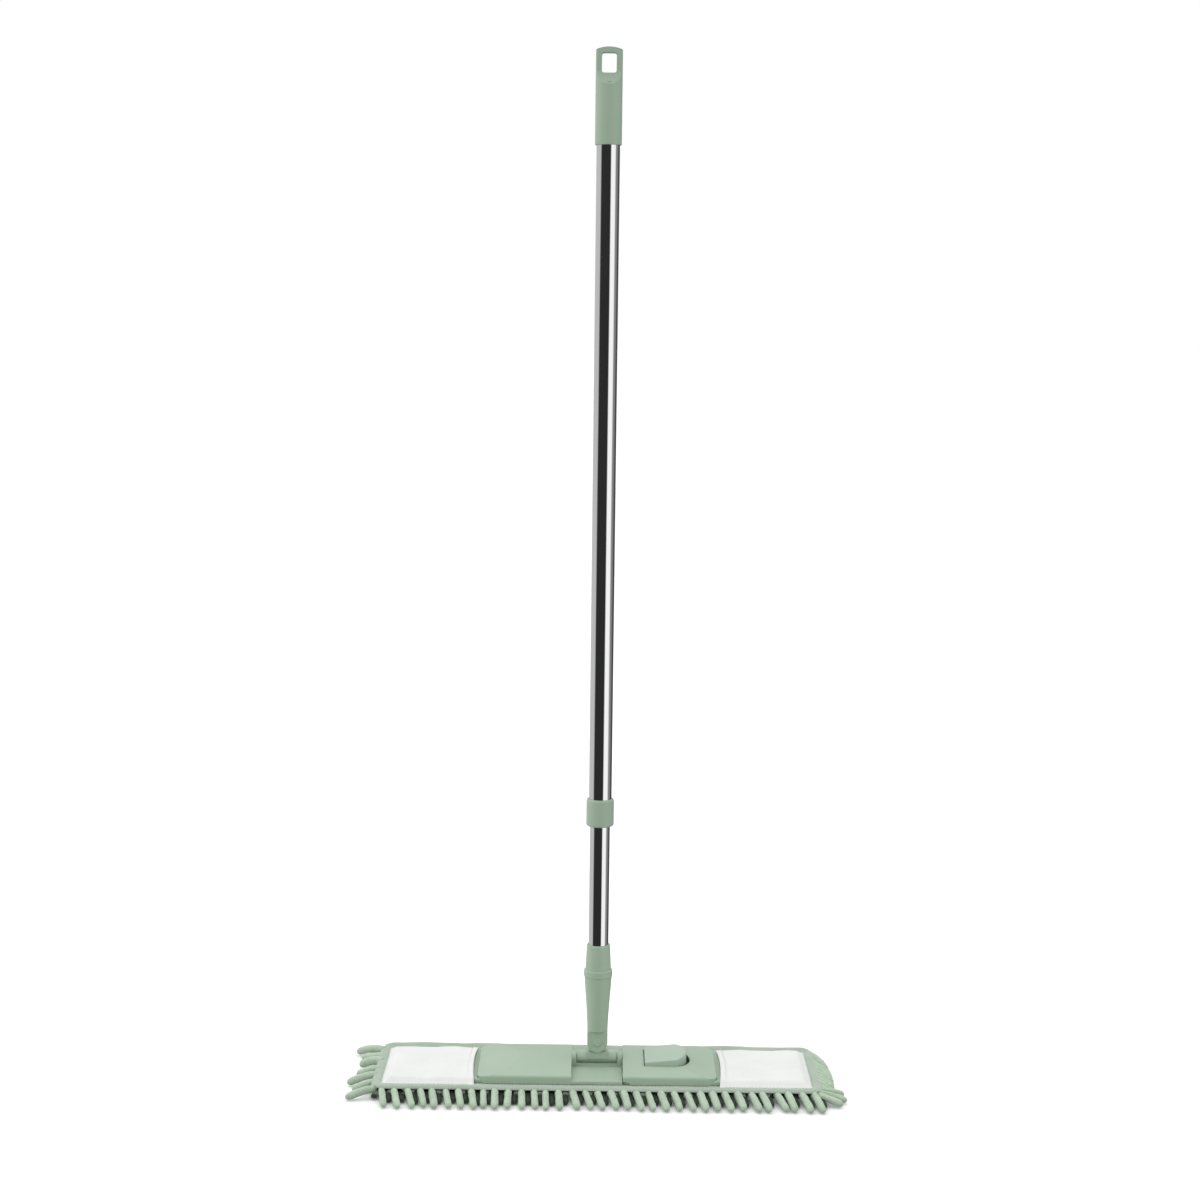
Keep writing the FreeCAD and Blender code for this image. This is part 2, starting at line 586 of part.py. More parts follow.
def hinge_pins():
    y0, y1 = WING_BARRELS[0][0], WING_BARRELS[-1][1]
    return Part.makeCompound([y_rod(HINGE_X, HINGE_Z, HINGE_PIN_R, a, b) for a, b in both_sides([(y0, y1)])])


# --- the swivel


def swivel_axle():
    return Part.makeCylinder(AXLE_R, RIGHT_EDGE - LEFT_EDGE - 2, V(LEFT_EDGE + 1.4, 0, BAR_Z), X_AXIS)


def knuckle():
    """The cross bar, its saddle and the ear that stands between the fork's cheeks."""
    x0, x1 = LEFT_EDGE + LUG_THICK + SIDE_GAP, RIGHT_EDGE - LUG_THICK - SIDE_GAP
    bar = Part.makeCylinder(BAR_R, x1 - x0, V(x0, 0, BAR_Z), X_AXIS)
    bar = bar.makeChamfer(0.6, [e for e in bar.Edges if isinstance(e.Curve, Part.Circle)])
    half_y = SADDLE_DEPTH / 2
    saddle = box(-SADDLE_HALF, SADDLE_HALF, -half_y, half_y, BAR_Z, FORK_Z - NECK_R - SIDE_GAP)
    upright = [e for e in saddle.Edges if abs(e.tangentAt(e.FirstParameter).z) > 0.99]
    saddle = saddle.makeFillet(2.0, upright)
    half_ear = EAR_THICK / 2
    ear = box(-EAR_R, EAR_R, -half_ear, half_ear, BAR_Z, FORK_Z)
    ear = ear.fuse(y_rod(0, FORK_Z, EAR_R, -half_ear, half_ear))
    whole = fuse([bar, saddle, ear])
    whole = whole.cut(Part.makeCylinder(AXLE_R + RUN_GAP, FAR, V(-FAR / 2, 0, BAR_Z), X_AXIS))
    return whole.cut(y_rod(0, FORK_Z, FORK_PIN_R + RUN_GAP, -FAR, FAR))


def pole_socket():
    """The fork and the flared socket that the pole screws into."""
    ring_z = SOCKET_Z - SOCKET_RING_HEIGHT
    flare = Part.BSplineCurve()
    spread = SOCKET_TOP_R - NECK_R
    shape = ((0, 0), (0.2, 0.12), (0.57, 0.5), (1, 1))
    length = SOCKET_LENGTH - SOCKET_RING_HEIGHT
    flare.interpolate([V(NECK_R + spread * out, 0, SHOULDER_Z + length * up) for up, out in shape])
    bore_r, bore_z = STEM_R + SLIP_GAP, SOCKET_Z - STEM_LENGTH - 1
    points = [
        V(SOCKET_TOP_R, 0, ring_z),
        V(SOCKET_RING_R, 0, ring_z + 0.8),
        V(SOCKET_RING_R, 0, SOCKET_Z - 1),
        V(SOCKET_RING_R - 1, 0, SOCKET_Z),
        V(bore_r, 0, SOCKET_Z),
        V(bore_r, 0, bore_z),
        V(0, 0, bore_z - bore_r / 2),
        V(0, 0, SHOULDER_Z),
        V(NECK_R, 0, SHOULDER_Z),
    ]
    rest = Part.makePolygon(points)
    body = Part.Face(Part.Wire([flare.toShape()] + rest.Edges)).revolve(V(0, 0, 0), Z_AXIS, 360)
    half_gap = EAR_THICK / 2 + SIDE_GAP
    cheeks = []
    for y0, y1 in both_sides([(half_gap, half_gap + CHEEK_THICK)]):
        cheek = box(-NECK_R, NECK_R, y0, y1, FORK_Z, SHOULDER_Z + 2)
        cheek = cheek.fuse(y_rod(0, FORK_Z, NECK_R, y0, y1))
        cheeks.append(cheek.common(Part.makeCylinder(NECK_R, FAR, V(0, 0, 0)).fuse(
            box(-NECK_R, NECK_R, -half_gap - CHEEK_THICK, half_gap + CHEEK_THICK, 0, SHOULDER_Z - 1))))
    whole = fuse([body] + cheeks)
    return whole.cut(y_rod(0, FORK_Z, FORK_PIN_R + PIN_SEAT, -FAR, FAR))


def fork_rivet():
    reach = EAR_THICK / 2 + SIDE_GAP + CHEEK_THICK
    shank = y_rod(0, FORK_Z, FORK_PIN_R, -reach, reach)
    heads = []
    for y0 in (-reach - RIVET_HEAD_THICK, reach):
        head = y_rod(0, FORK_Z, RIVET_HEAD_R, y0, y0 + RIVET_HEAD_THICK)
        outer = y0 if y0 < 0 else y0 + RIVET_HEAD_THICK
        rim = [e for e in head.Edges if isinstance(e.Curve, Part.Circle) and abs(e.Curve.Center.y - outer) < 0.01]
        heads.append(head.makeFillet(RIVET_HEAD_THICK * 0.8, rim))
    return fuse([shank] + heads)


# --- the pole


def ferrule():
    """The lower tube's end piece: a tapered skirt round the tube and a ridged stem in the socket."""
    stem_z = SOCKET_Z - STEM_LENGTH
    points = [(STEM_BORE_R, stem_z), (STEM_R - THREAD_LAND, stem_z)]
    ridges = int((STEM_LENGTH - THREAD_PITCH) / THREAD_PITCH)
    for i in range(ridges):
        z = stem_z + (i + 0.5) * THREAD_PITCH
        points += [(STEM_R - THREAD_LAND, z), (STEM_R, z + 1), (STEM_R, z + 2), (STEM_R - THREAD_LAND, z + 3)]
    points += [(STEM_R - THREAD_LAND, SOCKET_Z), (FERRULE_BOTTOM_R, SOCKET_Z)]
    points += [(FERRULE_TOP_R, FERRULE_Z - 1), (FERRULE_TOP_R - 0.8, FERRULE_Z)]
    points += [(LOWER_TUBE_R + PIN_SEAT, FERRULE_Z), (LOWER_TUBE_R + PIN_SEAT, TUBE_Z), (STEM_BORE_R, TUBE_Z)]
    return turned(points)


def lower_tube():
    return tube(LOWER_TUBE_R, LOWER_TUBE_R - TUBE_WALL, TUBE_Z, TUBE_TOP)


def lock_plug():
    """The plug in the lower tube's top: a screwed stem with a cone that spreads the collet."""
    bore = LOWER_TUBE_R - TUBE_WALL - SLIP_GAP
    stem_z = TUBE_TOP + PLUG_FLANGE
    top = stem_z + COLLET_HEIGHT + SIDE_GAP
    points = [(0, TUBE_TOP - PLUG_DEPTH), (bore, TUBE_TOP - PLUG_DEPTH), (bore, TUBE_TOP), (LOWER_TUBE_R, TUBE_TOP)]
    points += [(LOWER_TUBE_R, stem_z), (PLUG_STEM_R, stem_z), (PLUG_STEM_R, top - PLUG_CONE_HEIGHT)]
    points += [(PLUG_STEM_R + PLUG_CONE_SPREAD, top), (0, top)]
    return turned(points)


def lock_collet():
    """The split sleeve that grips the upper tube when the plug's cone is screwed into it."""
    z0 = TUBE_TOP + PLUG_FLANGE + SIDE_GAP / 2
    z1 = z0 + COLLET_HEIGHT - SIDE_GAP
    outer = UPPER_TUBE_R - TUBE_WALL - SLIP_GAP
    inner = PLUG_STEM_R + SLIP_GAP
    mouth_z = TUBE_TOP + PLUG_FLANGE + COLLET_HEIGHT + SIDE_GAP - PLUG_CONE_HEIGHT
    slope = PLUG_CONE_SPREAD / PLUG_CONE_HEIGHT
    mouth_r = inner + slope * (z1 - mouth_z) + SLIP_GAP
    points = [(inner, z0), (outer, z0), (outer, z1), (mouth_r, z1), (inner + SLIP_GAP, mouth_z), (inner, mouth_z - 1)]
    sleeve = turned(points)
    for side in (1, -1):
        slit = box(0, FAR, -COLLET_SLIT / 2, COLLET_SLIT / 2, z0 + 6, z1 + 1)
        sleeve = sleeve.cut(slit if side > 0 else mirrored(slit))
    return sleeve


def upper_tube():
    return tube(UPPER_TUBE_R, UPPER_TUBE_R - TUBE_WALL, UPPER_Z, UPPER_TOP)


def tube_collar():
    """The sleeve on the upper tube's lower end, with a lip and an inner bush that guide the lower tube."""
    top = COLLAR_Z + COLLAR_HEIGHT
    guide = LOWER_TUBE_R + SLIP_GAP
    seat = UPPER_TUBE_R + PIN_SEAT
    bush = UPPER_TUBE_R - TUBE_WALL - PIN_SEAT
    bush_top = UPPER_Z + COLLAR_SLEEVE
    points = [(guide, COLLAR_Z), (COLLAR_R, COLLAR_Z), (COLLAR_R, top), (seat, top), (seat, UPPER_Z)]
    points += [(bush, UPPER_Z), (bush, bush_top), (guide, bush_top)]
    collar = turned(points)
    rims = edges_at(collar, COLLAR_Z, COLLAR_R) + edges_at(collar, top, COLLAR_R)
    return collar.makeFillet(COLLAR_ROUND, rims)


def grip():
    """The moulded hanging grip: a sleeve that flattens into a tab with a rectangular hole."""
    body = Part.makeCylinder(GRIP_R, GRIP_LENGTH, V(0, 0, GRIP_Z))
    tab_z = GRIP_TOP - TAB_HEIGHT
    for side in (1, -1):
        flat = TAB_THICK / 2
        cutter = Part.Face(
            Part.Wire(
                [
                    Part.LineSegment(V(-FAR, flat, FAR * 2), V(-FAR, flat, tab_z + 8)).toShape(),
                    Part.Arc(
                        V(-FAR, flat, tab_z + 8), V(-FAR, flat + 2.2, tab_z + 2), V(-FAR, GRIP_R + 2, tab_z - 8)
                    ).toShape(),
                    Part.LineSegment(V(-FAR, GRIP_R + 2, tab_z - 8), V(-FAR, FAR, tab_z - 8)).toShape(),
                    Part.LineSegment(V(-FAR, FAR, tab_z - 8), V(-FAR, FAR, FAR * 2)).toShape(),
                    Part.LineSegment(V(-FAR, FAR, FAR * 2), V(-FAR, flat, FAR * 2)).toShape(),
                ]
            )
        ).extrude(V(2 * FAR, 0, 0))
        body = body.cut(cutter if side > 0 else cutter.mirror(V(0, 0, 0), Y_AXIS))
    arch_r = (GRIP_R**2 + GRIP_CROWN**2) / (2 * GRIP_CROWN)
    body = body.common(y_rod(0, GRIP_TOP - arch_r, arch_r, -FAR, FAR).fuse(
        box(-FAR, FAR, -FAR, FAR, 0, GRIP_TOP - GRIP_CROWN - 1)))
    hole_z = GRIP_TOP - HOLE_FROM_TOP
    hole = box(-HOLE_WIDTH / 2, HOLE_WIDTH / 2, -FAR, FAR, hole_z - HOLE_HEIGHT, hole_z)
    along = [e for e in hole.Edges if abs(e.tangentAt(e.FirstParameter).y) > 0.99]
    body = body.cut(hole.makeFillet(HOLE_CORNER, along))
    bore = Part.makeCylinder(UPPER_TUBE_R + PIN_SEAT, UPPER_TOP - GRIP_Z, V(0, 0, GRIP_Z))
    body = body.cut(bore)
    foot = edges_at(body, GRIP_Z, GRIP_R)
    return body.makeFillet(0.8, foot)


def all_parts():
    parts = pad_parts()
    parts["frame_base"] = frame_base()
    parts["left_cover"] = mirrored(cover())
    parts["wing_base"] = wing_base()
    parts["right_cover"] = wing_cover()
    parts["hinge_pins"] = hinge_pins()
    parts["pedal"] = pedal()
    parts["pedal_pin"] = pedal_pin()
    parts["pedal_spring"] = pedal_spring()
    parts["swivel_axle"] = swivel_axle()
    parts["knuckle"] = knuckle()
    parts["pole_socket"] = pole_socket()
    parts["fork_rivet"] = fork_rivet()
    parts["ferrule"] = ferrule()
    parts["lower_tube"] = lower_tube()
    parts["lock_plug"] = lock_plug()
    parts["lock_collet"] = lock_collet()
    parts["upper_tube"] = upper_tube()
    parts["tube_collar"] = tube_collar()
    parts["grip"] = grip()
    return parts


os.makedirs("parts", exist_ok=True)
for part_name, part_shape in all_parts().items():
    print(part_name, "solids", len(part_shape.Solids), "valid", part_shape.isValid(), round(part_shape.Volume))
    part_shape.exportStep("parts/" + part_name + ".step")
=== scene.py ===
import math
import random

import bmesh
import bpy
from mathutils import Matrix, Vector, noise


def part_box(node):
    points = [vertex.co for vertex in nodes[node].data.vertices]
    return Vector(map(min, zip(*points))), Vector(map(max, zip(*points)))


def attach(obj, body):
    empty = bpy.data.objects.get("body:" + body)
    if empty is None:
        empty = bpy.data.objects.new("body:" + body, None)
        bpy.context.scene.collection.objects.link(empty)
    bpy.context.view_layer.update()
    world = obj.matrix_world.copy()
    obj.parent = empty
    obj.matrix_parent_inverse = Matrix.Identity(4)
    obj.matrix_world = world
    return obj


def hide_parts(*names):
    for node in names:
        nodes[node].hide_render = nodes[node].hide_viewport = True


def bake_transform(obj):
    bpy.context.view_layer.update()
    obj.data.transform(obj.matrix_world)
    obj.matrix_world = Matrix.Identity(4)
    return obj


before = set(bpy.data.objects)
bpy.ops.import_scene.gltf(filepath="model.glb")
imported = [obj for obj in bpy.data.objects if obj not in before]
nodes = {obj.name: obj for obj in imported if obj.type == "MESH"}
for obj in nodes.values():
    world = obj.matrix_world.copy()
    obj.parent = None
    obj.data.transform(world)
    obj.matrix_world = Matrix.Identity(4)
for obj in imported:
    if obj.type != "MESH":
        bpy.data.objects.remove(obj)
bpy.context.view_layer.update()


# ---------------------------------------------------------------- floor and daylight tent
# A white floor runs out past anything the camera sees. The light is a white tent with an open, dark front,
# which is what draws the dark stripe down the middle of the polished pole.
def tone(code):
    """A sRGB hex colour as the linear colour that a shader takes."""
    parts = [int(code[i : i + 2], 16) / 255 for i in (1, 3, 5)]
    return [p / 12.92 if p <= 0.04045 else ((p + 0.055) / 1.055) ** 2.4 for p in parts] + [1.0]


def add_node(tree, kind, values=(), links=(), **settings):
    """Adds a node with its settings, then fills its sockets with values and links."""
    node = tree.nodes.new("ShaderNode" + kind)
    for name, value in settings.items():
        setattr(node, name, value)
    for socket, value in dict(values).items():
        node.inputs[socket].default_value = value
    for socket, source in dict(links).items():
        tree.links.new(source, node.inputs[socket])
    return node


def new_material(name):
    """A material with an empty node tree."""
    material = bpy.data.materials.new(name)
    material.use_nodes = True
    material.node_tree.nodes.clear()
    return material, material.node_tree


def painted_floor():
    """Matt white studio paint: no gloss, so only a soft contact shadow shows under the mop."""
    material, tree = new_material("painted_floor")
    shader = add_node(tree, "BsdfPrincipled", {"Base Color": tone("#fafafa"), "Roughness": 0.9})
    add_node(tree, "OutputMaterial", links={"Surface": shader.outputs[0]})
    return material


def finish_mesh(bm, name, material, smooth=True):
    """Turns a finished bmesh into an object with one material."""
    mesh = bpy.data.meshes.new(name)
    bm.to_mesh(mesh)
    bm.free()
    for face in mesh.polygons:
        face.use_smooth = smooth
    mesh.materials.append(material)
    made = bpy.data.objects.new(name, mesh)
    bpy.context.scene.collection.objects.link(made)
    return made


FLOOR_REACH = 40.0
bm = bmesh.new()
bmesh.ops.create_circle(bm, cap_ends=True, segments=64, radius=FLOOR_REACH)
studio_floor = finish_mesh(bm, "studio_floor", painted_floor(), smooth=False)
studio_floor.visible_glossy = False
studio_floor.visible_diffuse = False


def round_walls(tree, turn, stops):
    """Brightness round the horizon, from stops of degrees and level.

    0 degrees is behind the camera and 90 is to the camera's right.
    """
    share = add_node(
        tree, "Math", {1: 1 / math.tau, 2: 0.5}, {0: turn.outputs[0]}, operation="MULTIPLY_ADD"
    )
    walls = add_node(tree, "ValToRGB", links={"Fac": share.outputs[0]})
    ramp = walls.color_ramp
    while len(ramp.elements) < len(stops):
        ramp.elements.new(0.5)
    for stop, (degrees, level) in zip(ramp.elements, stops):
        stop.position = degrees / 360 + 0.5
        stop.color = (level, level, level, 1)
    return walls


def light_tent():
    """The world's light: soft walls, roof and floor for matt surfaces, and panels and gaps for shiny ones."""
    world = bpy.data.worlds.new("light_tent")
    world.use_nodes = True
    tree = world.node_tree
    tree.nodes.clear()
    where = add_node(tree, "TexCoord")
    axes = add_node(tree, "SeparateXYZ", links={0: where.outputs["Generated"]})
    front = add_node(tree, "Math", {1: -1.0}, {0: axes.outputs["Y"]}, operation="MULTIPLY")
    turn = add_node(tree, "Math", links={0: axes.outputs["X"], 1: front.outputs[0]}, operation="ARCTAN2")
    cloth = round_walls(
        tree, turn, ((-180, 0.85), (-80, 1.7), (-25, 0.55), (30, 0.42), (80, 0.8), (180, 0.8))
    )
    panels = round_walls(
        tree,
        turn,
        (
            (-180, 0.3),
            (-150, 0.62),
            (-78, 0.62),
            (-66, 0.03),
            (25, 0.03),
            (34, 1.15),
            (72, 1.15),
            (86, 0.3),
            (112, 0.22),
            (124, 0.05),
            (150, 0.1),
            (180, 0.3),
        ),
    )
    low = add_node(tree, "MapRange", {"From Min": -0.1, "From Max": -0.4}, {"Value": axes.outputs["Z"]})
    footing = add_node(
        tree,
        "MixRGB",
        {"Color2": (0.42, 0.42, 0.42, 1)},
        {"Fac": low.outputs[0], "Color1": cloth.outputs[0]},
    )
    high = add_node(tree, "MapRange", {"From Min": 0.2, "From Max": 0.5}, {"Value": axes.outputs["Z"]})
    tent = add_node(
        tree,
        "MixRGB",
        {"Color2": (1.05, 1.05, 1.05, 1)},
        {"Fac": high.outputs[0], "Color1": footing.outputs[0]},
    )
    path = add_node(tree, "LightPath")
    light = add_node(
        tree,
        "MixRGB",
        links={"Fac": path.outputs["Is Glossy Ray"], "Color1": tent.outputs[0], "Color2": panels.outputs[0]},
    )
    lit = add_node(tree, "Background", {"Strength": 1.17}, {"Color": light.outputs[0]})
    seen = add_node(tree, "Background", {"Color": (1, 1, 1, 1), "Strength": 1.0})
    both = add_node(
        tree,
        "MixShader",
        links={0: path.outputs["Is Camera Ray"], 1: lit.outputs[0], 2: seen.outputs[0]},
    )
    add_node(tree, "OutputWorld", links={"Surface": both.outputs[0]})
    return world


bpy.context.scene.world = light_tent()
bpy.context.scene.view_settings.view_transform = "Standard"

SOFTBOX_PLACE = (-0.7, 1.3, 2.7)
SOFTBOX_TILT = math.radians(-24)
lamp = bpy.data.lights.new("roof_softbox", "AREA")
lamp.shape = "RECTANGLE"
lamp.size, lamp.size_y = 2.6, 1.6
lamp.energy = 11
roof = bpy.data.objects.new("roof_softbox", lamp)
roof.matrix_world = Matrix.Translation(SOFTBOX_PLACE) @ Matrix.Rotation(SOFTBOX_TILT, 4, "X")
bpy.context.scene.collection.objects.link(roof)


# ---------------------------------------------------------------- camera
# It stands in front of the mop, above the middle of the pole, and looks slightly down. It is turned by under
# a degree about its own line of sight.
EYE = Vector((-0.005, -2.42, 0.865))
AIM = Vector((-0.003, 0, 0.543))
ROLL = math.radians(0.7)
lens = bpy.data.cameras.new("camera")
lens.sensor_width = 36
lens.lens = 67.1
camera = bpy.data.objects.new("camera", lens)
sight = (AIM - EYE).to_track_quat("-Z", "Y").to_matrix().to_4x4()
camera.matrix_world = Matrix.Translation(EYE) @ sight @ Matrix.Rotation(ROLL, 4, "Z")
bpy.context.scene.collection.objects.link(camera)
bpy.context.scene.camera = camera


# ---------------------------------------------------------------- hanging grip, collar, ferrule and socket
# Sage-green polypropylene, injection moulded with a satin spark finish. The grip, collar and ferrule are
# pressed on the tubes. The ferrule screws into the socket, and a pin of the same plastic crosses its fork.
def moulded_polypropylene(name, light, deep, grain_mm, roughness):
    """Spark-finished moulding: a soft sheen over a grain, and a colour that drifts where the melt cooled.

    The real grain is about 0.1 mm, and is drawn coarser than that so that it shows.
    """
    material, tree = new_material(name)
    place = add_node(tree, "TexCoord")
    drift = add_node(
        tree, "TexNoise", {"Scale": 1 / 0.045, "Detail": 2.0}, {"Vector": place.outputs["Object"]}
    )
    colour = add_node(
        tree, "MixRGB", {"Color1": tone(deep), "Color2": tone(light)}, {"Fac": drift.outputs["Fac"]}
    )
    grain = add_node(
        tree, "TexNoise", {"Scale": 1000 / grain_mm, "Detail": 3.0}, {"Vector": place.outputs["Object"]}
    )
    wear = add_node(
        tree,
        "MapRange",
        {"From Min": 0.3, "From Max": 0.7, "To Min": roughness - 0.06, "To Max": roughness + 0.08},
        {"Value": grain.outputs["Fac"]},
    )
    bump = add_node(
        tree, "Bump", {"Strength": 0.25, "Distance": 0.00012}, {"Height": grain.outputs["Fac"]}
    )
    shader = add_node(
        tree,
        "BsdfPrincipled",
        {"IOR": 1.49},
        {"Base Color": colour.outputs[0], "Roughness": wear.outputs[0], "Normal": bump.outputs[0]},
    )
    add_node(tree, "OutputMaterial", links={"Surface": shader.outputs[0]})
    return material


def finish_node(name, material):
    """Gives a piece that is right as it is its finish."""
    mesh = nodes[name].data
    mesh.materials.clear()
    mesh.materials.append(material)


sage_grip = moulded_polypropylene("sage_grip_polypropylene", "#a4b9a3", "#9bb19b", 1.6, 0.44)
for name in ("grip", "tube_collar", "ferrule", "pole_socket", "fork_rivet"):
    finish_node(name, sage_grip)


# ---------------------------------------------------------------- telescopic tubes
# Two thin-walled tubes of stainless steel, drawn, welded and buffed to a mirror. The lower one slides in the
# upper one.
def mirror_stainless():
    """Buffed to a mirror, with faint smears from hands and hair-fine buffing lines along its length.

    The real lines are under 0.1 mm apart, and are drawn 1.2 mm apart so that they show.
    """
    material, tree = new_material("mirror_stainless")
    place = add_node(tree, "TexCoord")
    long_way = add_node(tree, "Mapping", {"Scale": (1, 1, 0.01)}, {"Vector": place.outputs["Object"]})
    lines = add_node(
        tree, "TexNoise", {"Scale": 1 / 0.0012, "Detail": 2.0}, {"Vector": long_way.outputs[0]}
    )
    smear = add_node(
        tree, "TexNoise", {"Scale": 1 / 0.05, "Detail": 3.0}, {"Vector": place.outputs["Object"]}
    )
    gloss = add_node(
        tree,
        "MapRange",
        {"From Min": 0.35, "From Max": 0.75, "To Min": 0.045, "To Max": 0.1},
        {"Value": smear.outputs["Fac"]},
    )
    bump = add_node(
        tree, "Bump", {"Strength": 0.04, "Distance": 0.00003}, {"Height": lines.outputs["Fac"]}
    )
    shader = add_node(
        tree,
        "BsdfPrincipled",
        {"Base Color": tone("#d4d4d5"), "Metallic": 1.0},
        {"Roughness": gloss.outputs[0], "Normal": bump.outputs[0]},
    )
    add_node(tree, "OutputMaterial", links={"Surface": shader.outputs[0]})
    return material


stainless = mirror_stainless()
for name in ("lower_tube", "upper_tube"):
    finish_node(name, stainless)


# ---------------------------------------------------------------- twist lock inside the pole
# The plug and the split collet on it, moulded in natural nylon. When the pole is turned, the plug's cone
# spreads the collet against the upper tube.
def natural_nylon():
    """Uncoloured nylon: smooth, waxy and milky, with a faint cloud in it."""
    material, tree = new_material("natural_nylon")
    place = add_node(tree, "TexCoord")
    cloud = add_node(
        tree, "TexNoise", {"Scale": 1 / 0.01, "Detail": 2.0}, {"Vector": place.outputs["Object"]}
    )
    colour = add_node(
        tree, "MixRGB", {"Color1": tone("#dedbd0"), "Color2": tone("#ebe9e1")}, {"Fac": cloud.outputs["Fac"]}
    )
    shader = add_node(
        tree, "BsdfPrincipled", {"Roughness": 0.42, "IOR": 1.53}, {"Base Color": colour.outputs[0]}
    )
    add_node(tree, "OutputMaterial", links={"Surface": shader.outputs[0]})
    return material


nylon = natural_nylon()
for name in ("lock_plug", "lock_collet"):
    finish_node(name, nylon)


# ---------------------------------------------------------------- hinge pins, pedal pin and swivel axle
# Cut lengths of mild-steel rod, zinc plated against rust. Each goes through the barrels or lugs of the two
# mouldings that it joins, and ends inside them.
def zinc_plated_steel():
    """Zinc plating: grey and half bright, with a faint cloud of crystals."""
    material, tree = new_material("zinc_plated_steel")
    place = add_node(tree, "TexCoord")
    cloud = add_node(
        tree, "TexNoise", {"Scale": 1 / 0.002, "Detail": 4.0}, {"Vector": place.outputs["Object"]}
    )
    gloss = add_node(
        tree, "MapRange", {"To Min": 0.22, "To Max": 0.4}, {"Value": cloud.outputs["Fac"]}
    )
    colour = add_node(
        tree, "MixRGB", {"Color1": tone("#a9abad"), "Color2": tone("#c6c8ca")}, {"Fac": cloud.outputs["Fac"]}
    )
    shader = add_node(
        tree,
        "BsdfPrincipled",
        {"Metallic": 1.0},
        {"Base Color": colour.outputs[0], "Roughness": gloss.outputs[0]},
    )
    add_node(tree, "OutputMaterial", links={"Surface": shader.outputs[0]})
    return material


zinc = zinc_plated_steel()
for name in ("hinge_pins", "pedal_pin", "swivel_axle"):
    finish_node(name, zinc)


# ---------------------------------------------------------------- pedal's return spring
# A coil of thin zinc-plated spring wire that stands in a cup on the wing's floor, under the pedal's toe.
WIRE = 0.0005  # radius
COILS = 5
STEPS = 26 * COILS
spring_low, spring_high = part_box("pedal_spring")
spring_foot = Vector(((spring_low.x + spring_high.x) / 2, 0, spring_low.z))
spring_radius = (spring_high.x - spring_low.x) / 2 - WIRE
bm = bmesh.new()
bmesh.ops.create_circle(bm, segments=8, radius=WIRE)
bmesh.ops.rotate(bm, matrix=Matrix.Rotation(math.radians(90), 3, "X"), verts=bm.verts)
bmesh.ops.translate(bm, vec=spring_foot + Vector((spring_radius, 0, WIRE)), verts=bm.verts)
bmesh.ops.spin(
    bm,
    geom=bm.verts[:] + bm.edges[:],
    cent=spring_foot,
    axis=(0, 0, 1),
    dvec=Vector((0, 0, (spring_high.z - spring_low.z - 2 * WIRE) / STEPS)),
    angle=math.tau * COILS,
    steps=STEPS,
)
bmesh.ops.holes_fill(bm, edges=[e for e in bm.edges if e.is_boundary])
bmesh.ops.recalc_face_normals(bm, faces=bm.faces[:])
return_spring = finish_mesh(bm, "return_spring", zinc)
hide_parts("pedal_spring")
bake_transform(return_spring)


# ---------------------------------------------------------------- frame, covers, pedal and knuckle
# The head's mouldings are the same polypropylene, with a finer grain and a little more gloss than the grip.
# The covers fit over the frame's two wings, and the pedal and the knuckle turn on steel pins.
sage_frame = moulded_polypropylene("sage_frame_polypropylene", "#a6b9a5", "#9db19d", 1.2, 0.42)
sage_pedal = moulded_polypropylene("sage_pedal_polypropylene", "#abbdab", "#a4b7a5", 1.2, 0.4)
for name in ("frame_base", "left_cover", "wing_base", "right_cover", "knuckle"):
    finish_node(name, sage_frame)
finish_node("pedal", sage_pedal)


# ---------------------------------------------------------------- base cloth
# Heavy polyester cloth in sage, woven plain, cut to the pad's outline. The noodles are looped through it and
# the pockets and the edge tape are sewn to it.
def woven_polyester(name, light, deep, thread_mm, sheen):
    """Plain weave: threads cross over and under in a fine check of raised tops and gaps, and the gaps are
    darker in the colour as painted shade, over a random drift of tone.

    The real threads are about 0.4 mm apart, and are drawn coarser than that so that they show.
    """
    material, tree = new_material(name)
    place = add_node(tree, "TexCoord")
    warp = add_node(
        tree,
        "TexWave",
        {"Scale": 1000 / thread_mm / math.tau, "Distortion": 0.6, "Detail": 1.0},
        {"Vector": place.outputs["Object"]},
        bands_direction="X",
    )
    weft = add_node(
        tree,
        "TexWave",
        {"Scale": 1000 / thread_mm / math.tau, "Distortion": 0.6, "Detail": 1.0},
        {"Vector": place.outputs["Object"]},
        bands_direction="Y",
    )
    crossing = add_node(
        tree, "Math", links={0: warp.outputs["Fac"], 1: weft.outputs["Fac"]}, operation="MULTIPLY"
    )
    drift = add_node(
        tree, "TexNoise", {"Scale": 1 / 0.03, "Detail": 3.0}, {"Vector": place.outputs["Object"]}
    )
    # Painted shade: the weave's gaps come out darker in the colour.
    mixed = add_node(
        tree, "Math", {1: 0.5}, {0: crossing.outputs[0], 2: drift.outputs["Fac"]}, operation="MULTIPLY_ADD"
    )
    colour = add_node(
        tree, "MixRGB", {"Color1": tone(deep), "Color2": tone(light)}, {"Fac": mixed.outputs[0]}
    )
    bump = add_node(tree, "Bump", {"Strength": 0.5, "Distance": 0.0003}, {"Height": crossing.outputs[0]})
    shader = add_node(
        tree,
        "BsdfPrincipled",
        {"Roughness": 0.85, "Sheen Weight": sheen, "Sheen Roughness": 0.4},
        {"Base Color": colour.outputs[0], "Normal": bump.outputs[0]},
    )
    add_node(tree, "OutputMaterial", links={"Surface": shader.outputs[0]})
    return material


def weight_of_fold(obj):
    """Bakes a piece's transform into its mesh."""
    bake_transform(obj)


